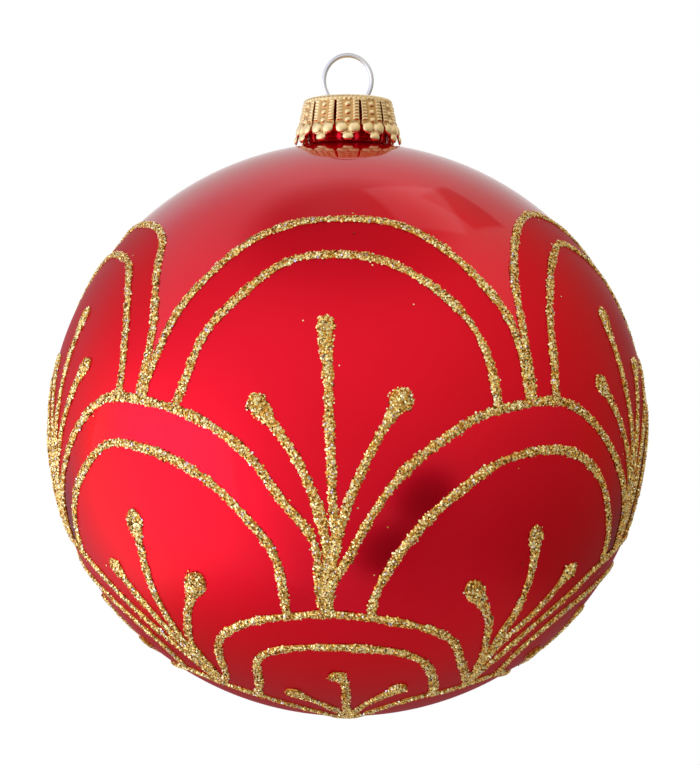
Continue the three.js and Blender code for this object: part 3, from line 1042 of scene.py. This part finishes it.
@dataclass
class StampedCrown:
    """The crown cap: thin tin plate, stamped with rows of bars, domes and beads, and slit into tabs."""

    ball: Ball
    sheet: float = 0.3
    seat_gap: float = 0.3
    side_gap: float = 0.35
    cad_sheet: float = 0.35
    shoulder: float = 0.9
    flare: float = 1.5
    tabs: int = 12
    slit_width: float = 0.36
    slit_start: float = 0.95
    tip_gap: float = 0.35
    rim_beads_per_tab: int = 5
    rim_bead_width: float = 0.8
    rim_bead_height: float = 0.2
    bar_pitch: float = 0.56
    bar_width: float = 1.15
    bar_offset: float = 1.6
    bar_height: float = 0.3
    dome_width: float = 1.1
    dome_spacing: float = 1.45
    dome_height: float = 0.36
    pair_width: float = 2.3
    pair_offset: float = 1.2
    pair_rise: float = 1.6
    pair_height: float = 0.6
    tip_width: float = 2.1
    tip_height: float = 1.75
    tip_depth: float = 0.6
    hole_spacing: float = 6.7
    hole_width: float = 1.75
    # Where the stamping starts below the shoulder, and how it fades in at its ends.
    bars_top_drop: float = 0.25
    bars_foot_rise: float = 0.1
    bars_fade: float = 0.15
    bar_floor: float = 0.15
    dome_drop: float = 0.85
    domes: int = 3
    rim_rise: float = 0.28
    tip_rise: float = 0.9
    # The web between the pair of beads and the tip: half its width, and how that grows downwards.
    web_half: float = 0.45
    web_gain: float = 0.5
    web_from: float = 0.6
    web_over: float = 1.2
    # Painted shade darkens the relief where it is lower than this height, under steps this steep, and a
    # little over the plate.
    groove_depth: float = 0.22
    step_slope: float = 1.4
    groove_shade: float = 0.75
    underside_shade: float = 0.9
    plate_darkening: float = 0.25
    columns: int = 32
    skirt_rows: int = 84

    @property
    def top(self) -> float:
        """Height of the plate's top face."""
        return self.ball.neck_rim + self.seat_gap + self.cad_sheet

    @property
    def radius(self) -> float:
        """Outer radius at the shoulder."""
        return self.ball.neck_width / 2 + self.side_gap + self.cad_sheet

    @property
    def tip_radius(self) -> float:
        """Outer radius of the skirt at the tips."""
        return self.radius + self.flare

    @property
    def tip_level(self) -> float:
        """Height of the tip beads' middles."""
        return self.ball.dome(self.tip_radius) + self.tip_gap + self.tip_rise

    @property
    def shoulder_level(self) -> float:
        """Height at which the skirt starts."""
        return self.top - self.shoulder

    def half_width(self, level: Array) -> Array:
        """Half the width of a tab at heights.

        Above the pair of beads it fills its share of the ring, less half a slit. Below their middles it
        follows their outer edges, then a narrow web, and then the round bead at the tip.
        """
        full = np.pi * self.skirt_radius(level) / self.tabs - self.slit_width / 2
        pair = self.tip_level + self.pair_rise
        below = np.clip((pair - level) / (self.pair_width / 2), 0, 1)
        beads = self.pair_offset + (full - self.pair_offset) * np.sqrt(1 - below**2)
        beads = np.where(below < 1, beads, 0)
        grown = np.clip((pair - level - self.web_from) / self.web_over, 0, 1)
        web = self.web_half + self.web_gain * grown
        high = np.clip(np.abs(level - self.tip_level) / (self.tip_height / 2), 0, 1)
        tip = self.tip_width / 2 * np.sqrt(np.maximum(1 - high**2, 0.02))
        lower = np.where(level > self.tip_level, np.maximum(tip, web), tip)
        return np.where(level > pair, full, np.maximum(beads, lower))

    def skirt_radius(self, level: Array) -> Array:
        """Radius of the plain skirt: a straight line from the shoulder to the tips."""
        share = (self.shoulder_level - level) / (self.shoulder_level - self.tip_level)
        return self.radius + self.flare * np.clip(share, 0, 1.3)

    def relief(self, offset: Array, level: Array) -> Array:
        """Height of the stamping, at offsets across a tab and heights on the skirt.

        It is the highest of these: two columns of bars, each a round-topped wave; a column of domes
        between them; the pair of beads; and the bead at the tip. A dome or bead is the upper part of
        an ellipsoid.
        """

        def bead(x: float, z: float, width: float, tall: float, height: float) -> Array:
            """Upper half of an ellipsoid that stands on the sheet."""
            away = ((offset - x) / (width / 2)) ** 2 + ((level - z) / (tall / 2)) ** 2
            return height * np.sqrt(np.clip(1 - away, 0, 1))

        pair = self.tip_level + self.pair_rise
        bars_top = self.shoulder_level - self.bars_top_drop
        bars_foot = pair + self.pair_width / 2 + self.bars_foot_rise
        wave = np.abs(np.cos(np.pi * (level - bars_top) / self.bar_pitch)) ** 0.5
        from_column = np.abs(np.abs(offset) - self.bar_offset)
        across = np.clip(1 - (from_column / (self.bar_width / 2)) ** 4, 0, 1)
        within = np.clip((bars_top + self.bars_top_drop - level) / self.bars_fade, 0, 1)
        within = within * np.clip((level - bars_foot) / self.bars_fade, 0, 1)
        wave = self.bar_floor + (1 - self.bar_floor) * wave
        height = self.bar_height * wave * np.sqrt(across) * within
        for i in range(self.domes):
            z = self.shoulder_level - self.dome_drop - i * self.dome_spacing
            height = np.maximum(height, bead(0, z, self.dome_width, self.dome_width, self.dome_height))
        for x in (-self.pair_offset, self.pair_offset):
            height = np.maximum(height, bead(x, pair, self.pair_width, self.pair_width, self.pair_height))
        return np.maximum(
            height, bead(0, self.tip_level, self.tip_width, self.tip_height, self.tip_depth)
        )

    def rows(self) -> tuple[Array, Array, Array, Array]:
        """The profile from the plate's middle out and down.

        Returns:
            Per row its radius, its height, and the two parts of the direction out of the sheet.
        """
        flat_to = self.radius - self.shoulder
        hole = self.hole_spacing / 2
        flat = np.concatenate(
            [
                np.linspace(0.5, hole - 1.1, 5),
                np.linspace(hole - 0.9, hole + 0.9, 10),
                np.linspace(hole + 1.2, flat_to, 7),
            ]
        )
        turn = np.linspace(0, np.pi / 2, 9)[1:]
        skirt = np.linspace(self.shoulder_level, self.tip_level - self.tip_height / 2, self.skirt_rows)[1:]
        slope = math.atan2(self.flare, self.shoulder_level - self.tip_level)
        radius = np.concatenate([flat, flat_to + self.shoulder * np.sin(turn), self.skirt_radius(skirt)])
        level = np.concatenate(
            [np.full(len(flat), self.top), self.shoulder_level + self.shoulder * np.cos(turn), skirt]
        )
        lean = np.concatenate([np.zeros(len(flat)), turn, np.full(len(skirt), np.pi / 2 - slope)])
        return radius, level, np.sin(lean), np.cos(lean)

    def build(self) -> bpy.types.Object:
        """Maps a grid onto the cap, leaves out the slits and holes, and gives the sheet its thickness."""
        radius, level, flat_out, up_out = self.rows()
        per_tab = self.columns + 1
        share = np.tile(np.linspace(-1, 1, per_tab), self.tabs)
        tab = np.repeat(np.arange(self.tabs), per_tab)
        full = np.pi * radius / self.tabs - self.slit_width / 2 * np.minimum(radius / self.radius, 1)
        on_skirt = level < self.shoulder_level
        half = np.where(on_skirt, self.half_width(level), full)
        offset = share[None] * half[:, None]
        turn = 2 * np.pi * tab / self.tabs + offset / radius[:, None]
        heights = np.broadcast_to(level[:, None], offset.shape)
        stamped = np.where(on_skirt[:, None], self.relief(offset, heights), 0)

        # The ring of small beads round the shoulder: a bump each time the angle has gone one pitch.
        beads = self.tabs * self.rim_beads_per_tab
        middle = self.shoulder_level + self.rim_rise
        along = (turn * beads / (2 * np.pi)) % 1 - 0.5
        pitch = 2 * np.pi * self.radius / beads
        rim_radius = self.rim_bead_width / 2
        away = (along * pitch / rim_radius) ** 2 + ((heights - middle) / rim_radius) ** 2
        rim = self.rim_bead_height * np.sqrt(np.clip(1 - away, 0, 1))
        stamped = np.maximum(stamped, np.where(radius[:, None] > self.radius - self.shoulder, rim, 0))

        reach = radius[:, None] + stamped * flat_out[:, None]
        high = heights + stamped * up_out[:, None]
        corners = np.stack([reach * np.sin(turn), -reach * np.cos(turn), high], -1).reshape(-1, 3)
        count = len(share)
        quads = grid_faces(len(radius), count, closed=True)[:, ::-1]
        centres = corners[quads].mean(1)

        in_slit = np.tile(np.arange(count) % per_tab == self.columns, len(radius) - 1)
        row = np.repeat(np.arange(len(radius) - 1), count)
        below_start = level[row] < self.top - self.slit_start
        holes = np.array([[-self.hole_spacing / 2, 0], [self.hole_spacing / 2, 0]])
        from_hole = np.linalg.norm(centres[:, None, :2] - holes, axis=2).min(1)
        on_plate = centres[:, 2] > self.top - 0.05
        kept = ~(in_slit & below_start) & ~((from_hole < self.hole_width / 2) & on_plate)
        removed = np.unique(quads[(from_hole < self.hole_width / 2) & on_plate])
        edge = np.intersect1d(removed, np.unique(quads[kept]))
        nearest = holes[(corners[edge, 0] > 0).astype(int)]
        spoke = corners[edge, :2] - nearest
        corners[edge, :2] = nearest + unit(spoke) * self.hole_width / 2

        # Painted shade: the share of the shade colour grows where the stamping is low and on the lower
        # flanks of its bumps, and is fixed on the plate.
        groove = 1 - np.clip(stamped / self.groove_depth, 0, 1)
        groove = np.where(on_skirt[:, None], groove, self.plate_darkening)
        fall = np.where(on_skirt, np.gradient(level), -1.0)
        under = np.clip(np.gradient(stamped, axis=0) / fall[:, None] / self.step_slope, 0, 1)
        under = under * on_skirt[:, None]
        share = np.maximum(self.groove_shade * groove, self.underside_shade * under).ravel()
        share = np.append(share, self.plate_darkening)

        # A fan closes the plate's middle. Corners that only the slits and holes used are left out.
        after = (np.arange(count) + 1) % count
        fan = np.stack([np.full(count, len(corners)), np.arange(count), after], 1)
        corners = np.vstack([corners, [[0, 0, self.top]]])
        used = np.union1d(quads[kept], fan)
        number = np.zeros(len(corners), int)
        number[used] = np.arange(len(used))
        shape = Shape()
        shape.add(corners[used], [number[quads[kept]], number[fan]])
        piece = shape.piece("stamped_crown", self.ball.lift, [GOLD_LACQUERED_TIN.build()])
        painted_shade = piece.data.attributes.new(SHADE_ATTRIBUTE, "FLOAT", "POINT")
        painted_shade.data.foreach_set("value", share[used].astype(np.float32))
        thick = piece.modifiers.new("sheet_thickness", "SOLIDIFY")
        thick.thickness = self.sheet * MM
        thick.offset = -1
        thick.use_even_offset = False
        apply_modifiers(piece)
        log.info("stamped_crown: %d faces", len(piece.data.polygons))
        return piece


def apply_modifiers(piece: bpy.types.Object) -> None:
    """Writes a piece's modifiers into its mesh."""
    graph = bpy.context.evaluated_depsgraph_get()
    done = bpy.data.meshes.new_from_object(piece.evaluated_get(graph))
    piece.modifiers.clear()
    old = piece.data
    piece.data = done
    bpy.data.meshes.remove(old)
    done.name = piece.name


# ---- Wire ----


@dataclass
class SpringWire:
    """The hanger: one steel wire, bent to a loop whose legs spread inside the neck."""

    ball: Ball
    crown: StampedCrown
    width: float = 0.85
    loop_width: float = 10.3
    pinch: float = 27.5
    leg_depth: float = 20.0
    spread_depth: float = 6.0
    leg_side_gap: float = 0.35
    softness: float = 0.55
    end_share: float = 0.7
    sides: int = 20
    step: float = 0.22

    def half_path(self) -> Array:
        """Across and height of points up one leg and round to the top of the loop.

        The leg is straight, eases in to the hole by a sine squared, runs straight to the loop, and then
        follows its circle.
        """
        plate = self.crown.top - self.crown.cad_sheet / 2
        radius = self.loop_width / 2 - self.width / 2
        pinch = math.radians(self.pinch)
        waist = self.crown.hole_spacing / 2
        bore = self.ball.neck_width / 2 - self.ball.wall
        leg = bore - self.leg_side_gap - self.width / 2
        centre = plate + (radius * math.cos(pinch) - waist) / math.tan(pinch) + radius * math.sin(pinch)
        straight = np.array([[leg, plate - self.leg_depth], [leg, plate - self.spread_depth]])
        share = np.linspace(1, 0, 14)[1:]
        eased = waist + (leg - waist) * np.sin(np.pi / 2 * share) ** 2
        easing = np.stack([eased, plate - self.spread_depth * share], 1)
        angle = np.linspace(-pinch, np.pi / 2, 40)
        loop = np.stack([radius * np.cos(angle), centre + radius * np.sin(angle)], 1)
        return np.vstack([straight, easing, loop])

    def path(self) -> Array:
        """The whole path at even steps, its bends softened by a moving bell-shaped average."""
        half = self.half_path()
        whole = np.vstack([half, (half[:-1] * [-1, 1])[::-1]])
        distance = travelled(whole)
        even = along_path(whole, distance, np.arange(0, distance[-1], self.step))
        reach = int(3 * self.softness / self.step)
        bell = np.exp(-0.5 * (np.arange(-reach, reach + 1) * self.step / self.softness) ** 2)
        padded = np.vstack([np.repeat(even[:1], reach, 0), even, np.repeat(even[-1:], reach, 0)])
        soft = np.stack([np.convolve(padded[:, i], bell / bell.sum(), "valid") for i in range(2)], 1)
        return np.stack([soft[:, 0], np.zeros(len(soft)), soft[:, 1]], 1)

    def build(self) -> bpy.types.Object:
        """Carries a round section along the path and closes both ends."""
        path = self.path()
        along = unit(np.gradient(path, axis=0))
        depth = np.broadcast_to([0.0, 1.0, 0.0], along.shape)
        side = np.cross(along, depth)
        turn = np.radians(np.arange(self.sides) * 360 / self.sides)
        around = np.cos(turn)[:, None] * side[:, None] + np.sin(turn)[:, None] * depth[:, None]
        # The cut ends are slightly broken: the radius drops over the last step.
        radius = np.full(len(path), self.width / 2)
        radius[[0, -1]] *= self.end_share
        corners = (path[:, None] + around * radius[:, None, None]).reshape(-1, 3)
        quads = grid_faces(len(path), self.sides, closed=True)
        first = np.arange(self.sides)[None]
        last = first + (len(path) - 1) * self.sides
        shape = Shape()
        shape.add(corners, [quads, np.vstack([first[:, ::-1], last])])
        piece = shape.piece("spring_wire", self.ball.lift, [BRIGHT_STEEL.build()])
        log.info("spring_wire: %d triangles", shape.triangles())
        return piece


# ---- Studio ----


def aim(azimuth: float, elevation: float) -> Vector:
    """A direction from the ball: degrees from the front towards the right, and above the horizon."""
    turn, rise = math.radians(azimuth), math.radians(elevation)
    return Vector((math.sin(turn) * math.cos(rise), -math.cos(turn) * math.cos(rise), math.sin(rise)))


@dataclass(frozen=True)
class Glow:
    """A soft bright or dim area of the room: where it is, how far it spreads, how strong it is, and how
    far its full strength reaches."""

    azimuth: float
    elevation: float
    spread: float
    strength: float
    core: float = 0.0


@dataclass(frozen=True)
class Card:
    """A bright or dark card in the room: where it is, half its width and height, and its strength."""

    azimuth: float
    elevation: float
    across: float
    rise: float
    strength: float
    tilt: float = 0.0


@dataclass
class Studio:
    """A pale floor, a white background, soft light and the camera."""

    room_level: float = 0.74
    room_side: float = 0.3
    room_rise: float = 0.25
    lamplight: tuple[float, float, float] = (1.04, 0.97, 0.9)
    daylight: tuple[float, float, float] = (0.96, 0.98, 1.25)
    glows: tuple[Glow, ...] = (
        Glow(-58, -10, 52, 0.3),
        Glow(-85, -42, 55, 0.3),
        Glow(40, 45, 50, 0.1),
        Glow(180, 88, 34, -0.58, 17),
        Glow(-108, 45, 40, -0.32, 12),
        Glow(75, -50, 50, -0.1),
        Glow(26, -11, 14, -0.42, 4),
        Glow(14, -30, 14, -0.4, 4),
    )
    cards: tuple[Card, ...] = (
        Card(140, 63, 11, 9, 0.4, -20),
        Card(138, 50, 8, 6.5, -0.42, 20),
    )
    # The white sweep stands behind the ball, and metal and glass show it there.
    sweep_rise: float = 6.0
    sweep_reach: float = 48.0
    sweep_core: float = 18.0
    card_softness: float = 1.2
    floor_level: float = -0.6
    floor_size: float = 1.1
    floor_lack: float = 0.8
    floor_colour: str = "#D2D0CD"
    floor_roughness: float = 0.8
    # One large soft light: its direction, distance and size in metres, and watts.
    key_place: tuple[float, float] = (-68.0, -20.0)
    key_away: float = 0.9
    key_size: tuple[float, float] = (1.1, 1.2)
    key_power: float = 2.1
    ball_middle: tuple[float, float, float] = (0.0, 0.0, -0.073)
    camera_place: tuple[float, float, float] = (0.0, -0.1617, -0.03043)
    camera_aim: tuple[float, float, float] = (0.00256, 0.97798, -0.20870)
    lens: float = 36.555

    def camera(self) -> None:
        """Sets up the camera, close to the ball and above its middle."""
        data = bpy.data.cameras.new("camera")
        data.lens = self.lens
        data.clip_start = 0.01
        camera = place("camera", data)
        camera.location = self.camera_place
        camera.rotation_mode = "QUATERNION"
        camera.rotation_quaternion = Vector(self.camera_aim).to_track_quat("-Z", "Y")
        bpy.context.scene.camera = camera

    def world(self) -> None:
        """Lights the room from a white surround that is dimmer in front, overhead and to the right."""
        world = bpy.data.worlds.new("studio")
        bpy.context.scene.world = world
        world.use_nodes = True
        tree = world.node_tree
        tree.nodes.clear()
        heading = add_node(tree, "TexCoord").outputs["Generated"]
        parts = add_node(tree, "SeparateXYZ", None, {0: heading})

        def times(value: bpy.types.NodeSocket, factor: object, plus: object) -> bpy.types.NodeSocket:
            """Adds a multiple of a value to another."""
            inputs = {0: value, 1: factor, 2: plus}
            return add_node(tree, "Math", {"operation": "MULTIPLY_ADD"}, inputs).outputs[0]

        level: object = self.room_level
        level = times(parts.outputs[0], -self.room_side, level)
        level = times(parts.outputs[2], self.room_rise, level)
        for glow in self.glows:
            level = times(self.near(tree, heading, glow), glow.strength, level)
        for card in self.cards:
            level = times(self.card_mask(tree, heading, card), card.strength, level)
        # Daylight comes in from the left and lamplight from the right.
        left = times(parts.outputs[0], -0.5, 0.5)
        tints = {0: left, 6: (*self.lamplight, 1.0), 7: (*self.daylight, 1.0)}
        light = add_node(tree, "Mix", {"data_type": "RGBA"}, tints)
        room = add_node(tree, "Background", None, {"Color": light.outputs[2], "Strength": level})
        white = add_node(tree, "Background", None, {"Color": (1, 1, 1, 1), "Strength": 1.0})
        path = add_node(tree, "LightPath")
        mirrored = times(path.outputs["Is Glossy Ray"], 1.0, path.outputs["Is Transmission Ray"])
        sweep = Glow(180, self.sweep_rise, self.sweep_reach, 1.0, self.sweep_core)
        behind = self.near(tree, heading, sweep)
        both = add_node(tree, "Math", {"operation": "MULTIPLY"}, {0: mirrored, 1: behind})
        seen = times(both.outputs[0], 1.0, path.outputs["Is Camera Ray"])
        shown = add_node(tree, "MixShader", None, {0: seen, 1: room.outputs[0], 2: white.outputs[0]})
        add_node(tree, "OutputWorld", None, {0: shown.outputs[0]})

    def near(
        self, tree: bpy.types.NodeTree, heading: bpy.types.NodeSocket, glow: Glow
    ) -> bpy.types.NodeSocket:
        """A mask that is 1 in a glow's core and falls to 0 where its spread ends."""
        toward = aim(glow.azimuth, glow.elevation)
        dot = {"operation": "DOT_PRODUCT"}
        facing = add_node(tree, "VectorMath", dot, {0: heading, 1: toward}).outputs["Value"]
        ends = (math.cos(math.radians(angle)) for angle in (glow.spread, glow.core))
        inputs = dict(enumerate((facing, *ends)))
        return add_node(tree, "MapRange", {"interpolation_type": "SMOOTHSTEP"}, inputs).outputs[0]

    def card_mask(
        self, tree: bpy.types.NodeTree, heading: bpy.types.NodeSocket, card: Card
    ) -> bpy.types.NodeSocket:
        """A mask that is 1 on a card: the product of how far a direction lies within its two sides."""
        middle = aim(card.azimuth, card.elevation)
        across = middle.cross(Vector((0, 0, 1))).normalized()
        across.rotate(Quaternion(middle, math.radians(card.tilt)))
        dot, multiply = {"operation": "DOT_PRODUCT"}, {"operation": "MULTIPLY"}
        mask: object = 1.0
        for axis, reach in ((across, card.across), (across.cross(middle), card.rise)):
            softness = -self.card_softness, self.card_softness
            inner, outer = (math.sin(math.radians(reach + d)) for d in softness)
            off = add_node(tree, "VectorMath", dot, {0: heading, 1: axis}).outputs["Value"]
            size = add_node(tree, "Math", {"operation": "ABSOLUTE"}, {0: off}).outputs[0]
            edge = {0: size, 1: inner, 2: outer, 3: 1.0, 4: 0.0}
            within = add_node(tree, "MapRange", {"interpolation_type": "SMOOTHSTEP"}, edge)
            mask = add_node(tree, "Math", multiply, {0: within.outputs[0], 1: mask}).outputs[0]
        facing = add_node(tree, "VectorMath", dot, {0: heading, 1: middle}).outputs["Value"]
        front = add_node(tree, "Math", {"operation": "GREATER_THAN"}, {0: facing, 1: 0.0})
        return add_node(tree, "Math", multiply, {0: front.outputs[0], 1: mask}).outputs[0]

    def floor(self) -> None:
        """Lays the floor, which looks as white as the background."""
        half = self.floor_size / 2
        mesh = bpy.data.meshes.new("floor")
        ends = ((-half, -half), (half, -half), (half, half), (-half, half))
        mesh.from_pydata([(x, y, self.floor_level) for x, y in ends], [], [(0, 1, 2, 3)])
        material, tree = new_material("pale_floor")
        surface = {"Base Color": linear(self.floor_colour), "Roughness": self.floor_roughness}
        paper = add_node(tree, "BsdfPrincipled", None, surface)
        # What the light lacks to make the paper white is added for the camera only, so shadows stay.
        seen = add_node(tree, "LightPath").outputs["Is Camera Ray"]
        lack = add_node(tree, "Math", {"operation": "MULTIPLY"}, {0: seen, 1: self.floor_lack})
        glow = {"Color": (1, 1, 1, 1), "Strength": lack.outputs[0]}
        white = add_node(tree, "Emission", None, glow)
        shown = add_node(tree, "AddShader", None, {0: paper.outputs[0], 1: white.outputs[0]})
        add_node(tree, "OutputMaterial", None, {"Surface": shown.outputs[0]})
        mesh.materials.append(material)
        floor = place("floor", mesh)
        floor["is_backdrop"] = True

    def key_light(self) -> None:
        """Hangs the large soft light at the left, facing the ball."""
        data = bpy.data.lights.new("key_left", "AREA")
        data.shape = "RECTANGLE"
        data.size, data.size_y = self.key_size
        data.energy = self.key_power
        data.color = self.daylight
        toward = aim(*self.key_place)
        light = place("key_left", data)
        light.location = Vector(self.ball_middle) + toward * self.key_away
        light.rotation_mode = "QUATERNION"
        light.rotation_quaternion = (-toward).to_track_quat("-Z", "Y")

    def build(self) -> None:
        """Sets the whole studio up."""
        bpy.context.scene.view_settings.view_transform = "Standard"
        self.camera()
        self.world()
        self.floor()
        self.key_light()


def write_sizes() -> None:
    """Works out the CAD box and the visual model's box, as plain lists, and leaves them unused."""
    boxes = {
        name: [[float(v) for v in corner] for corner in box]
        for name, box in (("cad", CAD_BOX), ("visual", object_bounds()))
    }


def main() -> None:
    """Builds the studio and the ornament, and reports each piece."""
    logging.basicConfig(level=logging.INFO, format="%(name)s: %(message)s")
    studio = Studio()
    studio.build()

    ball = Ball()
    pattern = ScalePattern(ball)

    shell = GlassShell(ball, pattern).build()
    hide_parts("glass_ball")
    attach(shell, "ball")

    work = GlitterWork(ball, pattern)
    tones = [tone.value.build() for tone in Tone]
    for piece in [*work.build(tones), work.strays(tones)]:
        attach(piece, "ball")

    crown = StampedCrown(ball)
    cap = crown.build()
    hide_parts("crown_cap")
    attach(cap, "cap")

    wire = SpringWire(ball, crown).build()
    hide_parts("wire_hanger")
    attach(wire, "hanger")

    write_sizes()


if __name__ == "__main__":
    main()
